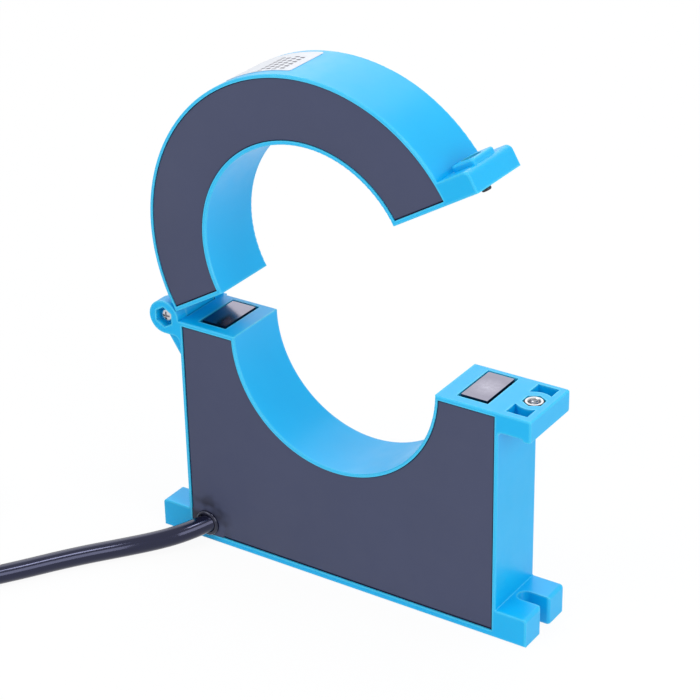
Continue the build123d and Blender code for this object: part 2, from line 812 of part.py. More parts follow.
# Free end: two cores on top of the coil's outer turn, with crimped ferrules
core_side = ferrule_r + ferrule_gap / 2
end_level = cable_d + ferrule_r
with BuildPart() as cable_end_cores:
    with BuildSketch(coil_radial(coil_last_turn_deg)):
        with Locations((outer_turn_r - core_side, end_level), (outer_turn_r + core_side, end_level)):
            Circle(cable_core_r)
    revolve(axis=coil_axis, revolution_arc=core_end_deg)
finish(cable_end_cores.part, "cable_end_cores", dark)

with BuildPart() as end_ferrules:
    with BuildSketch(coil_radial(coil_last_turn_deg + core_end_deg)):
        with Locations((outer_turn_r - core_side, end_level), (outer_turn_r + core_side, end_level)):
            Circle(ferrule_r)
    revolve(axis=coil_axis, revolution_arc=ferrule_deg)
finish(end_ferrules.part, "end_ferrules", steel)
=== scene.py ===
"""Looks for the split-core current transformer: camera, cable, fine pieces, materials and lights"""

from math import atan2, cos, degrees, pi, radians, sin, sqrt, tan

import bmesh
import bpy
from mathutils import Matrix, Vector


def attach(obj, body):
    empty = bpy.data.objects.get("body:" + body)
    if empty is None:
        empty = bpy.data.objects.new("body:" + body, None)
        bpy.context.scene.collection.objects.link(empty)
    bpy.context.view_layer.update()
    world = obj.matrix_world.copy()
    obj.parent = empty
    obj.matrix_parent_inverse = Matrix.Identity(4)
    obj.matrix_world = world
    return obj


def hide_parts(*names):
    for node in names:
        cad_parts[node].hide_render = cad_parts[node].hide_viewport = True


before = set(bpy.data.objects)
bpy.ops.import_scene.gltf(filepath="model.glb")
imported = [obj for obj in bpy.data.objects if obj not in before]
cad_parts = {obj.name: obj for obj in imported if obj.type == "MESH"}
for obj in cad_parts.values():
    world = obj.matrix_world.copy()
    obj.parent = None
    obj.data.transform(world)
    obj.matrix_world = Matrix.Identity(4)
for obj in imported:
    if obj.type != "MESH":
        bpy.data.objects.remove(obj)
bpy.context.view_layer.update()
scene = bpy.context.scene
MM = 0.001


def link(obj):
    scene.collection.objects.link(obj)
    return obj


# Camera, at the photograph's place: azimuth, elevation, roll, distance, lens and target
cam_az, cam_el, cam_roll = radians(33.683), radians(27.082), radians(-1.1334)
cam_dist, cam_lens, cam_sensor = 785.09, 112.85, 36.0
cam_back = Vector((sin(cam_az) * cos(cam_el), -cos(cam_az) * cos(cam_el), sin(cam_el)))
right_level = Vector((cos(cam_az), sin(cam_az), 0))
up_level = cam_back.cross(right_level)
cam_right = right_level * cos(cam_roll) + up_level * sin(cam_roll)
cam_up = cam_back.cross(cam_right)
cam_target = Vector((-1.448, 0, 90.545)) * MM
cam_data = bpy.data.cameras.new("camera")
cam_data.lens = cam_lens
cam_data.sensor_width = cam_sensor
cam_data.clip_start = 0.01
camera = link(bpy.data.objects.new("camera", cam_data))
turn = Matrix((cam_right, cam_up, cam_back)).transposed().to_4x4()
camera.matrix_world = Matrix.Translation(cam_target + cam_back * cam_dist * MM) @ turn
scene.camera = camera
scene.view_settings.view_transform = "Standard"

# Cable: the route from the collar, then the turns of the stored coil
cable_r = 3.6
cable_route = [
    (-59.5, -16.2, 7.25),
    (-62.2, -22.0, 6.5),
    (-69.0, -30.0, 4.8),
    (-78.6, -39.9, cable_r),
    (-91.4, -56.1, cable_r),
    (-104.6, -76.8, cable_r),
    (-118.9, -96.1, cable_r),
    (-138.0, -107.1, cable_r),
    (-155.5, -109.0, cable_r),
]
coil_outer, coil_inner, coil_lead_in = 41.1, 33.9, 26.0
coil_end_deg = 1280
coil_step = 20
chord_growth = 1.006
# Degrees of winding where it steps inwards, up a layer and out again, and degrees from the tie where it sinks
step_in, step_up, step_out, off_tie = (300, 360), (600, 660), (900, 960), (10, 50)
tie_deg, tie_t = 90, 0.9
last_a, last_b = Vector(cable_route[-2]), Vector(cable_route[-1])
lead_dir = (last_b - last_a).normalized()
coil_entry = last_b + lead_dir * coil_lead_in
coil_mid = coil_entry + Vector((lead_dir.y, -lead_dir.x, 0)) * coil_outer
entry_deg = degrees(atan2(coil_entry.y - coil_mid.y, coil_entry.x - coil_mid.x))


def ramp(x, a, b):
    """0 before a, 1 after b and smooth between"""
    t = min(max((x - a) / (b - a), 0.0), 1.0)
    return t * t * (3 - 2 * t)


def coil_point(deg):
    """Point of the winding, clockwise from the lead-in: it climbs a layer, and rises over the tie's band"""
    inward = ramp(deg, *step_in) - ramp(deg, *step_out)
    r = (coil_outer + (coil_inner - coil_outer) * inward) * chord_growth
    from_tie = abs((deg - tie_deg + 180) % 360 - 180)
    level = cable_r + 2 * cable_r * ramp(deg, *step_up) + tie_t * (1 - ramp(from_tie, *off_tie))
    a = radians(entry_deg - deg)
    return Vector((coil_mid.x + r * cos(a), coil_mid.y + r * sin(a), level))


coil_turns = [coil_point(d) for d in range(coil_step // 2, coil_end_deg, coil_step)]
coil_turns.append(coil_point(coil_end_deg))
cable_data = bpy.data.curves.new("cable_jacket", "CURVE")
cable_data.dimensions = "3D"
spline = cable_data.splines.new("NURBS")
spline.points.add(len(cable_route + coil_turns) - 1)
for point, place in zip(spline.points, cable_route + coil_turns):
    point.co = (place[0] * MM, place[1] * MM, place[2] * MM, 1)
    point.radius = cable_r * MM
spline.order_u = 3
spline.use_endpoint_u = True
spline.resolution_u = 10
cable_data.bevel_depth = 1.0
cable_data.bevel_resolution = 8
cable_data.use_fill_caps = True
cable = link(bpy.data.objects.new("cable_jacket", cable_data))
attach(cable, "base")
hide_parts("signal_cable", "cable_coil")


# Materials
def linear(code):
    """Linear RGBA of an sRGB hex colour"""
    values = [int(code[i : i + 2], 16) / 255 for i in (1, 3, 5)]
    return tuple(v / 12.92 if v <= 0.04045 else ((v + 0.055) / 1.055) ** 2.4 for v in values) + (1.0,)


def add(tree, kind, values, out=0):
    """Adds a node, sets its settings and inputs or links them, and gives one of its outputs"""
    node = kind if isinstance(kind, bpy.types.Node) else tree.nodes.new(kind)
    for key, value in values.items():
        if isinstance(key, str) and key not in node.inputs:
            setattr(node, key, value)
        elif isinstance(value, bpy.types.NodeSocket):
            tree.links.new(value, node.inputs[key])
        else:
            node.inputs[key].default_value = value
    return node.outputs[out] if len(node.outputs) else node


def calc(tree, operation, one, two):
    """Value that a math node makes of two"""
    return add(tree, "ShaderNodeMath", {"operation": operation, 0: one, 1: two})


def span(tree, value, low, high, at_low=0.0, at_high=1.0):
    """Value that runs between its two ends as another runs from low to high"""
    ends = {"From Min": low, "From Max": high, "To Min": at_low, "To Max": at_high}
    return add(tree, "ShaderNodeMapRange", {"Value": value, **ends})


def finish(name, one, two, shade_mm, rough, wear_mm, grain, values=None, stretch=(1, 1, 1)):
    """Principled material with colour clouds, roughness patches and a grain of (size mm, depth mm)"""
    mat = bpy.data.materials.new(name)
    mat.use_nodes = True
    tree = mat.node_tree
    place = add(tree, "ShaderNodeTexCoord", {}, "Object")
    clouds = add(tree, "ShaderNodeTexNoise", {"Vector": place, "Scale": 1 / (shade_mm * MM), "Detail": 3.0})
    patches = add(tree, "ShaderNodeTexNoise", {"Vector": place, "Scale": 1 / (wear_mm * MM), "Detail": 4.0})
    size, depth = grain
    lines = add(tree, "ShaderNodeMapping", {"Vector": place, "Scale": stretch})
    fine = add(tree, "ShaderNodeTexNoise", {"Vector": lines, "Scale": 1 / (size * MM), "Detail": 2.0})
    colour = add(tree, "ShaderNodeMix", {"data_type": "RGBA", 0: clouds, 6: linear(one), 7: linear(two)}, 2)
    bump = add(tree, "ShaderNodeBump", {"Height": fine, "Distance": depth * MM, "Strength": 0.6})
    roughness = span(tree, patches, 0.3, 0.7, *rough)
    shader = tree.nodes["Principled BSDF"]
    add(tree, shader, {"Base Color": colour, "Roughness": roughness, "Normal": bump, **(values or {})})
    return mat


def lay_over(mat, mask, code):
    """Lays a colour over a finish, as much as the mask says"""
    tree = mat.node_tree
    shader = tree.nodes["Principled BSDF"]
    below = shader.inputs["Base Color"].links[0].from_socket
    both = add(tree, "ShaderNodeMix", {"data_type": "RGBA", 0: mask, 6: below, 7: linear(code)}, 2)
    add(tree, shader, {"Base Color": both})


def distance_from(tree, spot):
    """Distance in metres from a spot of the frame"""
    place = add(tree, "ShaderNodeTexCoord", {}, "Object")
    return add(tree, "ShaderNodeVectorMath", {"operation": "DISTANCE", 0: place, 1: spot}, "Value")


def noise(tree, size_mm, detail):
    """Noise with features of the given size"""
    place = add(tree, "ShaderNodeTexCoord", {}, "Object")
    return add(tree, "ShaderNodeTexNoise", {"Vector": place, "Scale": 1 / (size_mm * MM), "Detail": detail})


metal = {"Metallic": 1.0}

# Injection-moulded ABS: satin from a spark-eroded mould, with the colour clouded a little as it flowed
case_blue = finish(
    "moulded blue ABS", "#00AAE4", "#00B1EA",
    shade_mm=24, rough=(0.30, 0.38), wear_mm=5, grain=(0.5, 0.012),
    values={"Specular IOR Level": 0.3, "Subsurface Weight": 0.05, "Subsurface Scale": 0.002},
)
# Painted highlight on the outer corners: paler where the rounded normal leaves the face's own, out in the
# open air
edge_highlight_width, air_reach = 1.3 * MM, 1.5 * MM
tree = case_blue.node_tree
rounded = add(tree, "ShaderNodeBevel", {"samples": 4, "Radius": edge_highlight_width})
own = add(tree, "ShaderNodeNewGeometry", {}, "True Normal")
same = add(tree, "ShaderNodeVectorMath", {"operation": "DOT_PRODUCT", 0: rounded, 1: own}, "Value")
air = add(tree, "ShaderNodeAmbientOcclusion", {"samples": 4, "only_local": True, "Distance": air_reach}, "AO")
painted_edge_highlight = calc(tree, "MULTIPLY", span(tree, same, 0.90, 0.998, 0.8, 0.0), span(tree, air, 0.75, 0.98))
lay_over(case_blue, painted_edge_highlight, "#5CCFE8")

# Cast epoxy: poured and self-levelled, nearly matt, with the faintest clouds of filler
resin = finish(
    "cast epoxy", "#3A405B", "#3F4561",
    shade_mm=30, rough=(0.46, 0.56), wear_mm=9, grain=(7, 0.02), values={"Specular IOR Level": 0.35},
)
# Painted shade round the collar: dark blots on the resin, fading out with distance from it
collar_shade_at, collar_shade_from, collar_shade_to = (-0.0590, -0.0134, 0.0090), 0.0055, 0.0125
tree = resin.node_tree
near_collar = span(tree, distance_from(tree, collar_shade_at), collar_shade_from, collar_shade_to, 1.0, 0.0)
painted_shade_blots = span(tree, noise(tree, 6, 1.0), 0.40, 0.62)
lay_over(resin, calc(tree, "MULTIPLY", near_collar, painted_shade_blots), "#171A2E")

# The same resin down in the gap that its shrinking left along the walls, painted a deep navy as shade
resin_painted_shade = finish(
    "gap resin painted shade", "#10162E", "#161C38",
    shade_mm=12, rough=(0.5, 0.6), wear_mm=6, grain=(3, 0.02), values={"Specular IOR Level": 0.2},
)

# Cold-rolled core steel: ground across the laminations, so fine lines run along the depth
core_steel = finish(
    "ground core steel", "#6C6A78", "#767482",
    shade_mm=5, rough=(0.12, 0.20), wear_mm=3, grain=(0.3, 0.004), values=metal, stretch=(1, 0.05, 1),
)
# Painted highlight: a paler glint near the middle of the latch-side pole
glint_at, glint_reach, glint_most = (0.0555, 0.0, 0.0912), 0.0070, 0.6
tree = core_steel.node_tree
fading = span(tree, distance_from(tree, glint_at), 0.0, glint_reach, glint_most, 0.0)
lay_over(core_steel, calc(tree, "MULTIPLY", fading, noise(tree, 1.6, 4.0)), "#B4B2BE")

# Zinc plate on turned steel: bright, with a fine grain
zinc_steel = finish(
    "zinc-plated steel", "#C8C8CE", "#D4D4D8",
    shade_mm=3, rough=(0.18, 0.28), wear_mm=1.5, grain=(0.25, 0.004), values=metal,
)

# Black oxide on turned steel: oiled and deep grey
black_steel = finish(
    "black-oxide steel", "#3A3A3E", "#48484C",
    shade_mm=2, rough=(0.26, 0.36), wear_mm=1, grain=(0.2, 0.004), values=metal,
)

# Nickel plated over turned brass: pale grey, bright on the face
nut_nickel = finish(
    "nickel-plated brass", "#AEAEB0", "#B8B8BA",
    shade_mm=2, rough=(0.16, 0.26), wear_mm=1, grain=(0.25, 0.003), values=metal,
)

# The nut's flanks and chamfer: metal painted dark as shade, where they sit down in the seat
nut_flank_shade = finish(
    "nut flanks painted in shade", "#1C2630", "#24303A",
    shade_mm=2, rough=(0.35, 0.45), wear_mm=1, grain=(0.25, 0.003), values=metal,
)

# Extruded PVC: glossy, near black with a blue cast, and faintly uneven
sheen = linear("#C4C8F0")
jacket_pvc = finish(
    "extruded PVC jacket", "#06071B", "#0B0D22",
    shade_mm=12, rough=(0.10, 0.15), wear_mm=6, grain=(1.2, 0.02),
    values={"Specular IOR Level": 0.75, "Specular Tint": sheen},
)

# Moulded PVC of the collar: polished, so its rolled rim takes a sharp glint
collar_pvc = finish(
    "polished PVC collar", "#090B1C", "#0F1124",
    shade_mm=4, rough=(0.10, 0.16), wear_mm=2, grain=(0.4, 0.004),
    values={"Specular Tint": sheen, "Coat Weight": 0.4, "Coat Roughness": 0.05},
)

# Moulded nylon, black and satin
black_nylon = finish(
    "moulded black nylon", "#0C0D16", "#13141E",
    shade_mm=4, rough=(0.24, 0.34), wear_mm=2, grain=(0.4, 0.006),
)

# Enamelled copper wire, wound side by side: ridges one wire apart
copper_wire = finish(
    "enamelled copper wire", "#A8602C", "#BC7038",
    shade_mm=4, rough=(0.24, 0.34), wear_mm=2, grain=(0.5, 0.1),
    values={"Metallic": 0.8}, stretch=(0.1, 1, 0.1),
)

# Polyester tape: thin glossy film over the winding
tape_film = finish(
    "polyester tape", "#C49A28", "#D0A838",
    shade_mm=8, rough=(0.22, 0.32), wear_mm=3, grain=(2, 0.03),
)

# Solder mask over glass-fibre board: the weave just shows
board_green = finish(
    "green solder mask", "#134A29", "#1A5C35",
    shade_mm=6, rough=(0.24, 0.32), wear_mm=3, grain=(0.8, 0.01),
)

# Dipped epoxy lacquer on small components
lacquer_grey = finish(
    "lacquered resistor", "#5C8098", "#6488A0",
    shade_mm=3, rough=(0.30, 0.38), wear_mm=2, grain=(0.5, 0.01),
)
lacquer_blue = finish(
    "dipped suppressor", "#17306E", "#1C387C",
    shade_mm=3, rough=(0.28, 0.36), wear_mm=2, grain=(0.8, 0.02),
)

# Insulation of the cores: soft PVC, satin
core_pvc = finish(
    "red PVC insulation", "#8C1A16", "#9C201A",
    shade_mm=4, rough=(0.32, 0.40), wear_mm=2, grain=(0.5, 0.008),
)

# Tinned copper: soft, dull silver
tinned = finish(
    "tinned copper", "#C6C0B8", "#D2CCC4",
    shade_mm=2, rough=(0.26, 0.36), wear_mm=1, grain=(0.3, 0.005), values=metal,
)

# Matt polyester label: pale film, with plain dark blocks in rows where the ratings go
label_film = finish(
    "matt label film", "#CCD0D8", "#D4D8E0",
    shade_mm=8, rough=(0.38, 0.46), wear_mm=3, grain=(0.6, 0.006), values={"Specular IOR Level": 0.4},
)
block_w, row_h, block_gap = 2.4, 3.0, 0.6
field_x, field_half_x, field_y, field_half_y = -2.2, 7.6, 9.6, 6.0
tree = label_film.node_tree
across = add(tree, "ShaderNodeTexCoord", {}, "UV")
gaps = add(
    tree, "ShaderNodeTexBrick",
    {"Vector": across, "Scale": 1.0, "Brick Width": block_w, "Row Height": row_h,
     "Mortar Size": block_gap, "Mortar Smooth": 0.2},
    "Fac",
)
split = add(tree, "ShaderNodeSeparateXYZ", {0: across}, "X").node.outputs
columns = add(tree, "ShaderNodeMath", {"operation": "COMPARE", 0: split["X"], 1: field_x, 2: field_half_x})
rows = add(tree, "ShaderNodeMath", {"operation": "COMPARE", 0: split["Y"], 1: field_y, 2: field_half_y})
field = calc(tree, "MULTIPLY", columns, rows)
ink = add(tree, "ShaderNodeMath", {"operation": "SUBTRACT", "use_clamp": True, 0: field, 1: gaps})
lay_over(label_film, ink, "#34304A")

cable_data.materials.append(jacket_pvc)


# Frames for the fine pieces: they take local millimetres and give metres
def placed(origin, x_dir, axis):
    """Frame with its x and its axis along the directions"""
    axis = Vector(axis).normalized()
    x_dir = Vector(x_dir)
    x_dir = (x_dir - axis * x_dir.dot(axis)).normalized()
    turn = Matrix((x_dir, axis.cross(x_dir), axis)).transposed().to_4x4()
    return Matrix.Translation(Vector(origin) * MM) @ turn @ Matrix.Scale(MM, 4)


def ring(r, z, count=48):
    """Loop round the axis; the radius and the level may follow the angle"""
    loop = []
    for i in range(count):
        a = 2 * pi * i / count
        here = r(a) if callable(r) else r
        loop.append((here * cos(a), here * sin(a), z(a) if callable(z) else z))
    return loop


def hexagon(flats):
    """Radius of a hexagon with the given width across flats, with a flat on +x"""
    return lambda a: flats / 2 / cos(radians((degrees(a) + 30) % 60 - 30))


def thread(low, high, z0, z1, pitch, steps=8):
    """Rings of a screw thread from one level to the other, some in each pitch, dying out at its ends"""
    count = max(2, int(abs(z1 - z0) / pitch * steps))
    rings = []
    for i in range(count + 1):
        z = z0 + (z1 - z0) * i / count
        fade = min(1.0, abs(z - z0) / pitch, abs(z1 - z) / pitch)
        rings.append(
            ring(lambda a: low + (high - low) * fade * abs(2 * ((z / pitch - a / (2 * pi)) % 1.0) - 1), z)
        )
    return rings


def skin(bm, loops, ends="caps"):
    """Faces between loops of equal count, with caps on the end loops or the last joined to the first"""
    rows = [[bm.verts.new(p) for p in loop] for loop in loops]
    pairs = list(zip(rows, rows[1:]))
    if ends == "joined":
        pairs.append((rows[-1], rows[0]))
    else:
        bm.faces.new(rows[0])
        bm.faces.new(rows[-1])
    for one, two in pairs:
        for i in range(len(one)):
            bm.faces.new((one[i - 1], one[i], two[i], two[i - 1]))


def piece(name, bm, matrix, material, body, nodes=(), sharp_deg=32):
    """Object from a mesh in local millimetres, riding on its body in place of its CAD nodes"""
    bm.transform(matrix)
    bmesh.ops.recalc_face_normals(bm, faces=bm.faces)
    mesh = bpy.data.meshes.new(name)
    bm.to_mesh(mesh)
    bm.free()
    mesh.polygons.foreach_set("use_smooth", [True] * len(mesh.polygons))
    mesh.set_sharp_from_angle(angle=radians(sharp_deg))
    mesh.materials.append(material)
    obj = link(bpy.data.objects.new(name, mesh))
    return settle(obj, body, nodes)


def settle(obj, body, nodes=()):
    """Rides the object on its body and hides the CAD nodes that it stands for"""
    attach(obj, body)
    if nodes:
        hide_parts(*nodes)
    return obj


# Sizes that the fine pieces share with the solids
window_r, arm_outer_r, axis_h, front_y, back_y = 42.5, 67.5, 91.0, -14.3, 14.3
wall_t, arm_bore_wall_t, joint_wall_t, floor_t, potting_recess = 1.2, 1.5, 1.6, 2.5, 0.6
joint_gap = 0.3
hinge_x, hinge_z = -74.3, 91.15
latch_x = 73.6
tilt = radians(30.4)
arm_x = Vector((cos(tilt), 0, sin(tilt)))
arm_up = Vector((-sin(tilt), 0, cos(tilt)))
arm_origin = Vector((hinge_x, 0, hinge_z)) - arm_x * hinge_x + arm_up * (axis_h + joint_gap - hinge_z)
resin_y = front_y + potting_recess
front_of_base = placed((0, resin_y, 0), (1, 0, 0), (0, -1, 0))
front_of_arm = placed(arm_origin + Vector((0, resin_y, 0)), arm_x, (0, -1, 0))
arm_frame = placed(arm_origin, arm_x, arm_up)


# Faces of the resin: level, rolled down at the rim where it shrank from the walls, most at the floor and
# least along the curved walls
floor_share, arc_share = 1.8, 0.55
base_arc_steps, arm_arc_steps = 90, 110


def base_outline(d):
    """Outline of the base's resin, in from the walls by d"""
    half_w, low, top = arm_outer_r - wall_t - d, floor_t + floor_share * d, axis_h - joint_wall_t - d
    r = window_r + wall_t + arc_share * d
    meets = sqrt(r * r - (axis_h - top) ** 2)
    start = atan2(top - axis_h, meets)
    arc = [start + (-pi - 2 * start) * i / base_arc_steps for i in range(base_arc_steps + 1)]
    corners = [(-half_w, top), (-half_w, low), (half_w, low), (half_w, top)]
    return corners + [(r * cos(a), axis_h + r * sin(a)) for a in arc]


def arm_outline(d):
    """Outline of the arm's resin, in from the walls by d"""
    level = joint_wall_t + d
    outer, inner = arm_outer_r - wall_t - arc_share * d, window_r + arm_bore_wall_t + arc_share * d
    points = []
    for r, order in ((outer, 1), (inner, -1)):
        start = atan2(level, sqrt(r * r - level * level))
        arc = [start + (pi - 2 * start) * i / arm_arc_steps for i in range(arm_arc_steps + 1)][::order]
        points += [(r * cos(a), r * sin(a)) for a in arc]
    return points


resin_level, sunk = 0.35, -0.05
rolled_edge = ((0.45, sunk), (0.45, 0.12), (0.52, 0.24), (0.66, 0.32), (0.9, resin_level))
for name, outline, matrix, body in (
    ("base_resin_face", base_outline, front_of_base, "base"),
    ("arm_resin_face", arm_outline, front_of_arm, "arm"),
):
    bm = bmesh.new()
    skin(bm, [[(x, z, h) for x, z in outline(d)] for d, h in rolled_edge])
    piece(name, bm, matrix, resin, body, sharp_deg=50)

# Resin drawn up round the collar: highest there, falling to the level face, and cut off by the walls
route_a, route_b = Vector(cable_route[0]), Vector(cable_route[1])
exit_dir = (route_b - route_a).normalized()
collar_t, collar_r = 1.1, 5.2
collar_at = route_a + exit_dir * ((front_y - collar_t / 2 - route_a.y) / exit_dir.y)
rise_in, rise_out, rise_high, wall_clear = 4.6, 8.4, 0.62, 0.02
rise_foot, rise_steps, rise_count = (5.3, 8.3), 10, 96


def rise_reach(a):
    """How far the drawn-up resin reaches at an angle"""
    down = (collar_at.z - floor_t - wall_clear) / max(-sin(a), 0.001)
    left = (collar_at.x + arm_outer_r - wall_t - wall_clear) / max(-cos(a), 0.001)
    return min(rise_out, down, left)


bm = bmesh.new()
loops = [ring(rise_in, sunk, rise_count)]
for step in range(rise_steps + 1):
    reach = lambda a: rise_in + (rise_reach(a) - rise_in) * step / rise_steps
    level = lambda a: rise_high - (rise_high - resin_level) * ramp(reach(a), *rise_foot)
    loops.append(ring(reach, level, rise_count))
loops.append(ring(rise_reach, sunk, rise_count))
skin(bm, loops, "joined")
rise_frame = placed((collar_at.x, resin_y, collar_at.z), (1, 0, 0), (0, -1, 0))
piece("resin_rise", bm, rise_frame, resin, "base", sharp_deg=60)

# Collar: a rolled rim, as (inwards, level), and a bore that slants with the cable, as (level, clearance)
slant = Vector((exit_dir.x, exit_dir.z, -exit_dir.y))
collar_rim = ((0.0, 0.0), (0.0, 0.2), (0.04, 0.45), (0.14, 0.68), (0.28, 0.88), (0.44, 1.02), (0.6, collar_t))
collar_mouth = ((1.06, 0.22), (0.9, 0.06), (0.0, 0.04))
collar_count = 72


def collar_bore(z, clear):
    """Loop where the slanted bore meets a level of the collar"""
    shift = slant * ((z - collar_t / 2) / slant.z)
    loop = []
    for x, y, level in ring(1.0, z, collar_count):
        r = (cable_r + clear) / sqrt(1 - (x * slant.x + y * slant.y) ** 2)
        loop.append((x * r + shift.x, y * r + shift.y, level))
    return loop


bm = bmesh.new()
loops = [ring(collar_r - inwards, z, collar_count) for inwards, z in collar_rim]
loops += [collar_bore(z, clear) for z, clear in collar_mouth]
skin(bm, loops, "joined")
collar_frame = placed((collar_at.x, front_y, collar_at.z), (1, 0, 0), (0, -1, 0))
piece("collar_ring", bm, collar_frame, collar_pvc, "base", ["cable_collar"], 40)


# Nuts: chamfered hexagons with a thread
def nut(name, matrix, material, nodes, flats, thick, face_r, hole_r, pitch, flank=None):
    """Nut with a turned face; its flanks and chamfer may have a finish of their own, such as painted shade"""
    side = hexagon(flats)
    slope = tan(radians(42))
    proud = thick + 0.015
    loops = [
        ring(side, 0.12),
        ring(side, lambda a: thick - (side(a) - face_r) * slope),
        ring(face_r, thick),
        ring(face_r - 0.08, proud),
        ring(hole_r + 0.42, proud),
        ring(hole_r + 0.12, thick - 0.3),
    ]
    loops += thread(hole_r + 0.2, hole_r + 0.02, thick - 0.35, 0.2, pitch)
    loops += [ring(hole_r + 0.3, 0.0), ring(flats / 2 - 0.15, 0.0)]
    bm = bmesh.new()
    skin(bm, loops, "joined")
    if flank:
        for face in bm.faces:
            face.material_index = int(face.calc_center_median().xy.length > face_r)
    obj = piece(name, bm, matrix, material, "base", nodes, 25)
    if flank:
        obj.data.materials.append(flank)


latch_r, latch_pitch, pin_r, pin_pitch = 2.0, 0.7, 1.5, 0.5
latch_nut_t, latch_nut_low = 3.2, 0.1
nut(
    "latch_nut_threaded", placed((latch_x, 0, axis_h - latch_nut_low - latch_nut_t), (1, 0, 0), (0, 0, 1)),
    nut_nickel, ["latch_nut"],
    flats=7.0, thick=latch_nut_t, face_r=3.2, hole_r=latch_r, pitch=latch_pitch, flank=nut_flank_shade,
)
pin_nut_pocket = 3.0
nut(
    "pin_nut_threaded", placed((hinge_x, back_y - pin_nut_pocket, hinge_z), (1, 0, 0), (0, 1, 0)),
    zinc_steel, ["hinge_nut"],
    flats=5.5, thick=2.4, face_r=2.6, hole_r=pin_r, pitch=pin_pitch,
)

# Latch screw: threaded shank, knurled head with a hexagon socket
head_low, head_h, head_r, screw_len = 6.0, 4.0, 3.4, 8.0
head_top, tip = head_low + head_h, head_low - screw_len
socket, socket_mouth, socket_deep = hexagon(3.0), hexagon(3.25), 2.2
bm = bmesh.new()
loops = [ring(1.2, tip), ring(1.5, tip + 0.03), ring(1.78, tip + 0.3)]
loops += thread(latch_r - 0.26, latch_r, tip + 0.35, head_low - 0.6, latch_pitch)
loops += [ring(latch_r - 0.02, head_low - 0.3), ring(latch_r + 0.2, head_low)]
loops += [ring(head_r - 0.1, head_low), ring(head_r, head_low + 0.1), ring(head_r, head_top - 0.45)]
loops += [ring(head_r - 0.06, head_top - 0.18), ring(head_r - 0.28, head_top)]
loops += [ring(socket_mouth, head_top), ring(socket, head_top - 0.16), ring(socket, head_top - socket_deep)]
loops += [ring(0.3, head_top - socket_deep - 0.5)]
skin(bm, loops)
screw_frame = arm_frame @ Matrix.Translation((latch_x, 0, 0))
piece("latch_screw_body", bm, screw_frame, black_steel, "latch_screw", ["latch_screw"], 28)


# Geometry Nodes: a small shape at each point of a mesh
def grow(name, points, matrix, build, values, body):
    """Runs a node tree over points, turns the result into a mesh and puts it in place"""
    mesh = bpy.data.meshes.new(name)
    mesh.from_pydata(points, [], [])
    obj = link(bpy.data.objects.new(name, mesh))
    tree = bpy.data.node_groups.new(name, "GeometryNodeTree")
    tree.interface.new_socket("Points", in_out="INPUT", socket_type="NodeSocketGeometry")
    tree.interface.new_socket("Geometry", in_out="OUTPUT", socket_type="NodeSocketGeometry")
    identifiers = {}
    for label, value in values.items():
        kind = "NodeSocketMaterial" if isinstance(value, bpy.types.Material) else "NodeSocketFloat"
        identifiers[label] = tree.interface.new_socket(label, in_out="INPUT", socket_type=kind).identifier
    inputs = tree.nodes.new("NodeGroupInput").outputs
    shapes = build(tree, inputs)
    real = add(tree, "GeometryNodeRealizeInstances", {0: shapes})
    coat = add(tree, "GeometryNodeSetMaterial", {"Geometry": real, "Material": inputs["Finish"]})
    add(tree, "NodeGroupOutput", {0: coat})
    live = obj.modifiers.new(name, "NODES")
    live.node_group = tree
    for label, value in values.items():
        live[identifiers[label]] = value
    made = bpy.data.meshes.new_from_object(obj.evaluated_get(bpy.context.evaluated_depsgraph_get()))
    obj.modifiers.clear()
    made.transform(matrix)
    made.polygons.foreach_set("use_smooth", [True] * len(made.polygons))
    made.set_sharp_from_angle(angle=radians(35))
    obj.data = made
    return settle(obj, body)


def ridges(tree, inputs):
    """A four-sided rib at each point, with an edge pointing away from the axis"""
    rib = add(
        tree, "GeometryNodeMeshCylinder",
        {"Vertices": 4, "Radius": inputs["Rib radius"], "Depth": inputs["Rib length"]},
        "Mesh",
    )
    place = add(tree, "GeometryNodeInputPosition", {})
    split = add(tree, "ShaderNodeSeparateXYZ", {0: place}, "X").node.outputs
    turn = add(tree, "ShaderNodeCombineXYZ", {"Z": calc(tree, "ARCTAN2", split["Y"], split["X"])})
    return add(
        tree, "GeometryNodeInstanceOnPoints", {"Points": inputs["Points"], "Instance": rib, "Rotation": turn}
    )


def witness_discs(tree, inputs):
    """A shallow disc with a bevelled rim at each point"""
    low = add(
        tree, "GeometryNodeMeshCone",
        {"Vertices": 32, "Radius Top": inputs["Face radius"], "Radius Bottom": inputs["Foot radius"],
         "Depth": inputs["Height"]},
        "Mesh",
    )
    return add(tree, "GeometryNodeInstanceOnPoints", {"Points": inputs["Points"], "Instance": low})


knurl_r, knurl_count, knurl_mid = head_r + 0.02, 44, (head_low + head_top - 0.4) / 2
grow(
    "screw_head_knurl", ring(knurl_r, knurl_mid, knurl_count), screw_frame, ridges,
    {"Rib radius": 0.16, "Rib length": 2.9, "Finish": black_steel}, "latch_screw",
)

# Ejector-pin witness marks on the backs of both shells
witness = {"Face radius": 2.3, "Foot radius": 2.5, "Height": 0.16, "Finish": case_blue}
base_marks = [(x, z, 0.0) for x in (-58, -22, 22, 58) for z in (12, 34)] + [(x, 66, 0.0) for x in (-56, 56)]
back_of_base = placed((0, back_y, 0), (-1, 0, 0), (0, 1, 0))
grow("base_pin_marks", base_marks, back_of_base, witness_discs, witness, "base")
mark_r = 55
arm_marks = [(-mark_r * cos(radians(d)), mark_r * sin(radians(d)), 0.0) for d in (18, 54, 90, 126, 162)]
back_of_arm = placed(arm_origin + Vector((0, back_y, 0)), -arm_x, (0, 1, 0))
grow("arm_pin_marks", arm_marks, back_of_arm, witness_discs, witness, "arm")

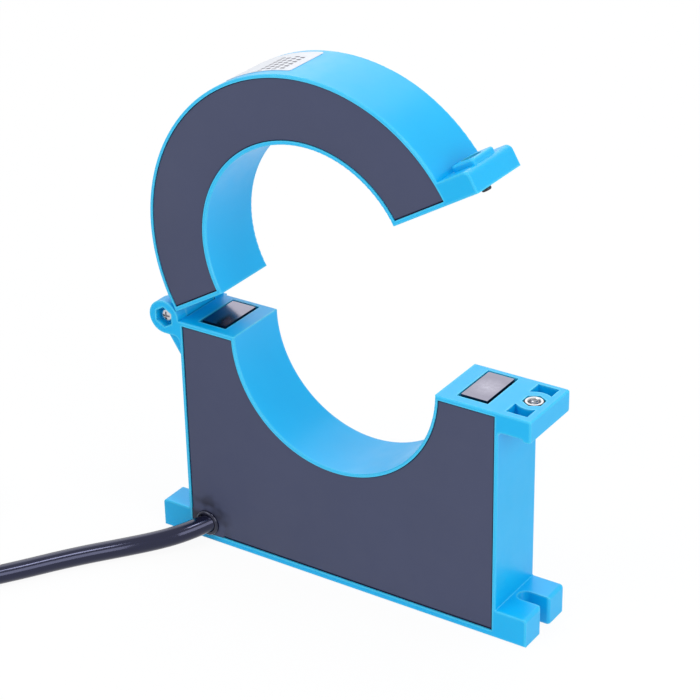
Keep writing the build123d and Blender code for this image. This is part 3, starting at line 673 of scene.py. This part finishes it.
# Hinge screw: domed head with a cross recess, threaded where it meets its nut
pin_len, pin_head_low = 25.1, 3.2
thread_end = -pin_len + 6.2
bm = bmesh.new()
loops = [ring(1.0, -pin_len), ring(1.3, -pin_len + 0.1)]
loops += thread(pin_r - 0.22, pin_r, -pin_len + 0.2, thread_end, pin_pitch)
pin_head = ((pin_r, -0.2), (1.75, 0.0), (2.6, 0.0), (2.7, 0.12), (2.7, 0.85), (2.62, 1.15), (2.4, 1.42))
dome = ((2.0, 1.62), (1.5, 1.74), (0.9, 1.8))
loops += [ring(pin_r, thread_end + 0.2)] + [ring(r, z) for r, z in pin_head + dome]
skin(bm, loops)
pin_frame = placed((hinge_x, front_y + pin_head_low, hinge_z), (1, 0, 0), (0, -1, 0))
pin = piece("hinge_screw_body", bm, pin_frame, zinc_steel, "base", ["hinge_screw"], 28)


def cross(long, wide, z):
    """Loop of a cross with four equal arms"""
    loop = []
    for quarter in range(4):
        c, s = cos(quarter * pi / 2), sin(quarter * pi / 2)
        loop += [(x * c - y * s, x * s + y * c, z) for x, y in ((long, -wide), (long, wide), (wide, wide))]
    return loop


bm = bmesh.new()
recess_levels = ((0.9, 0.16, 0.5), (1.35, 0.3, 0.9), (1.8, 0.42, 2.2))
skin(bm, [cross(long, wide, z) for long, wide, z in recess_levels])
bm.transform(pin_frame)
bmesh.ops.recalc_face_normals(bm, faces=bm.faces)
recess_mesh = bpy.data.meshes.new("recess")
bm.to_mesh(recess_mesh)
bm.free()
recess = link(bpy.data.objects.new("recess", recess_mesh))
cut = pin.modifiers.new("recess", "BOOLEAN")
cut.object = recess
cut.solver = "EXACT"
cut_mesh = bpy.data.meshes.new_from_object(pin.evaluated_get(bpy.context.evaluated_depsgraph_get()))
pin.modifiers.clear()
pin.data = cut_mesh
bpy.data.objects.remove(recess)

# Label: a film with rounded corners, laid over the arm
label_from, label_to, label_w, label_mid_y = radians(65.4), radians(90.0), 21.5, 0.9
film_low, film_high, corner_r = arm_outer_r + 0.02, arm_outer_r + 0.16, 1.4
half_w, label_steps = label_w / 2, 30
edge_rows, inner_rows = (0.0, 0.1, 0.3, 0.6, 1.0, corner_r), (-6.0, -3.0, 0.0, 3.0, 6.0)
rows_v = [-half_w + inwards for inwards in edge_rows]
rows_v += [*inner_rows] + [-v for v in rows_v[::-1]]
bm = bmesh.new()
loops = []
for v in rows_v:
    inset = max(0.0, abs(v) - half_w + corner_r)
    cut_back = (corner_r - sqrt(max(corner_r**2 - inset**2, 0.0))) / arm_outer_r
    reach = label_to - label_from - 2 * cut_back
    angles = [label_from + cut_back + reach * i / label_steps for i in range(label_steps + 1)]
    loop = [(film_high * cos(a), label_mid_y + v, film_high * sin(a)) for a in angles]
    loop += [(film_low * cos(a), label_mid_y + v, film_low * sin(a)) for a in angles[::-1]]
    loops.append(loop)
skin(bm, loops)
marking = bm.loops.layers.uv.new("label")
for face in bm.faces:
    for corner in face.loops:
        x, y, up = corner.vert.co
        corner[marking].uv = (y - label_mid_y, (atan2(up, x) - label_from) * arm_outer_r)
piece("rating_film", bm, arm_frame, label_film, "arm", ["rating_label"])


# Tie round the coil: a band that hugs the turns, with its head on top
def coil_frame(deg, level):
    """Frame on the coil's axis with x outwards at the angle and y up"""
    a = radians(entry_deg - deg)
    return placed((coil_mid.x, coil_mid.y, level), (cos(a), sin(a), 0), (sin(a), -cos(a), 0))


tie_half, tie_mid_z, tie_w, tie_chamfer, bend_r, bend_steps = 7.3, 8.2, 4.0, 0.3, 3.7, 8
coil_mid_r = (coil_outer + coil_inner) / 2 * chord_growth
quarters = tuple(enumerate(((1, 1), (-1, 1), (-1, -1), (1, -1))))
path = []
for quarter, (sx, sy) in quarters:
    for i in range(bend_steps + 1):
        a = (quarter + i / bend_steps) * pi / 2
        x, y = (side * (tie_half - bend_r) for side in (sx, sy))
        path.append((x + bend_r * cos(a), y + bend_r * sin(a), cos(a), sin(a)))
side_w, face_w, shoulder = tie_w / 2, tie_w / 2 - tie_chamfer, tie_t - tie_chamfer
half_section = ((0.0, side_w), (shoulder, side_w), (tie_t, face_w))
section = ((0.0, -side_w), *half_section, (tie_t, -face_w), (shoulder, -side_w))
band = [
    [(coil_mid_r + x + nx * out, tie_mid_z + y + ny * out, w) for out, w in section] for x, y, nx, ny in path
]


def rounded_box(x, y, half_x, half_y, z, r, steps=4):
    """Loop of a rectangle with rounded corners"""
    loop = []
    for quarter, (sx, sy) in quarters:
        for i in range(steps + 1):
            a = (quarter + i / steps) * pi / 2
            loop.append((x + sx * (half_x - r) + r * cos(a), y + sy * (half_y - r) + r * sin(a), z))
    return loop


bm = bmesh.new()
skin(bm, band, "joined")
head_y, head_half_x, head_half_y, head_corner = tie_mid_z + tie_half + tie_t + 1.2, 2.6, 1.6, 0.5
head_levels = ((-2.4, 0.3), (-2.1, 0.0), (2.1, 0.0), (2.4, 0.3))
skin(bm, [
    rounded_box(coil_mid_r, head_y, head_half_x - inwards, head_half_y - inwards, z, head_corner)
    for z, inwards in head_levels
])
tail_out, tail_low, tail_half_x, tail_half_y, tail_half_w, tail_corner = 3.6, 0.2, 1.2, 0.45, 1.7, 0.2
skin(bm, [
    rounded_box(coil_mid_r + tail_out, head_y - tail_low, tail_half_x, tail_half_y, z, tail_corner)
    for z in (-tail_half_w, tail_half_w)
])
piece("tie_band", bm, coil_frame(tie_deg, 0), black_nylon, "base", ["coil_tie"], 40)

# Ferrules on the two cores: a collar that takes the insulation and a crimped tube
tube_r, crimp_r, crimp_from, crimp_apart = 0.98, 0.84, 2.4, 0.9
ferrule_profile = [(0.95, 0.0), (1.3, 0.05), (1.3, 0.5), (1.22, 2.0), (tube_r, 2.1)]
for crimp in range(4):
    z = crimp_from + crimp * crimp_apart
    ferrule_profile += [(tube_r, z), (crimp_r, z + 0.2), (crimp_r, z + 0.5), (tube_r, z + 0.7)]
ferrule_profile += [(tube_r, 6.2), (0.86, 6.3)]
ferrule_deg, ferrule_z, core_offset, ferrule_count = 226, 8.4, 1.35, 24
bm = bmesh.new()
for side in (core_offset, -core_offset):
    shift = Matrix.Translation((coil_outer + side, 0, 0))
    skin(bm, [[shift @ Vector(p) for p in ring(r, z, ferrule_count)] for r, z in ferrule_profile])
ferrule_frame = coil_frame(ferrule_deg, ferrule_z)
piece("crimped_ferrules", bm, ferrule_frame, tinned, "base", ["end_ferrules"], 30)

# Finishes of the solids that stay
for material, names in (
    (case_blue, ("lower_case", "upper_case")),
    (resin_painted_shade, ("lower_potting", "upper_potting")),
    (core_steel, ("lower_core", "upper_core")),
    (black_nylon, ("winding_former", "coil_tie", "screw_retainer")),
    (collar_pvc, ("cable_collar",)),
    (copper_wire, ("secondary_winding",)),
    (tape_film, ("winding_tape",)),
    (board_green, ("circuit_board",)),
    (lacquer_grey, ("burden_resistor",)),
    (lacquer_blue, ("surge_suppressor",)),
    (core_pvc, ("winding_leads", "tail_cores", "cable_end_cores")),
    (jacket_pvc, ("cable_tail", "signal_cable", "cable_coil")),
    (tinned, ("end_ferrules",)),
    (zinc_steel, ("hinge_screw", "hinge_nut", "spring_washer")),
    (black_steel, ("latch_screw",)),
    (nut_nickel, ("latch_nut",)),
    (label_film, ("rating_label",)),
):
    for name in names:
        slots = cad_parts[name].data.materials
        slots.clear()
        slots.append(material)

# Floor and surroundings: white where they are seen or mirrored, plain light elsewhere
white, floor_size, floor_drop, floor_white, plain_level = (1, 1, 1, 1), 3, 0.0002, 0.93, 0.62


def seen_or_mirrored(tree):
    """1 on rays from the camera and on reflections and refractions"""
    rays = tree.nodes.new("ShaderNodeLightPath").outputs
    direct = calc(tree, "MAXIMUM", rays["Is Camera Ray"], rays["Is Glossy Ray"])
    return calc(tree, "MAXIMUM", direct, rays["Is Transmission Ray"])


floor_mesh = bpy.data.meshes.new("floor")
corners = [(x * floor_size, y * floor_size, 0) for x, y in ((-1, -1), (1, -1), (1, 1), (-1, 1))]
floor_mesh.from_pydata(corners, [], [(0, 1, 2, 3)])
floor = link(bpy.data.objects.new("floor", floor_mesh))
floor.location.z = -floor_drop
floor_paint = bpy.data.materials.new("white floor")
floor_paint.use_nodes = True
tree = floor_paint.node_tree
tree.nodes.clear()
matt = add(tree, "ShaderNodeBsdfDiffuse", {"Color": linear("#F4F5F7")})
bright = add(tree, "ShaderNodeEmission", {"Color": white, "Strength": 1.0})
share = calc(tree, "MULTIPLY", seen_or_mirrored(tree), floor_white)
mixed = add(tree, "ShaderNodeMixShader", {0: share, 1: matt, 2: bright})
add(tree, "ShaderNodeOutputMaterial", {"Surface": mixed})
floor_mesh.materials.append(floor_paint)

world = bpy.data.worlds.new("surroundings")
scene.world = world
world.use_nodes = True
tree = world.node_tree
strength = span(tree, seen_or_mirrored(tree), 0.0, 1.0, plain_level, 1.0)
add(tree, tree.nodes["Background"], {"Color": white, "Strength": strength})
lamp_target = Vector((0, 0, 0.08))


def soft_light(name, place, size, power, depth=None):
    """Rectangular lamp that faces the transformer"""
    data = bpy.data.lights.new(name, "AREA")
    data.shape = "RECTANGLE"
    data.size = size
    data.size_y = depth or size
    data.energy = power
    lamp = link(bpy.data.objects.new(name, data))
    lamp.location = place
    lamp.rotation_euler = (Vector(place) - lamp_target).to_track_quat("Z", "Y").to_euler()


soft_light("key", (-0.5, -0.9, 1.0), 0.8, 5)
soft_light("fill", (1.0, -0.4, 0.6), 0.7, 4.5)
soft_light("back", (-0.50, 0.95, 0.80), 1.1, 4.2)
soft_light("overhead", (0.345, 0.0, 1.15), 0.4, 2.7, 0.2)
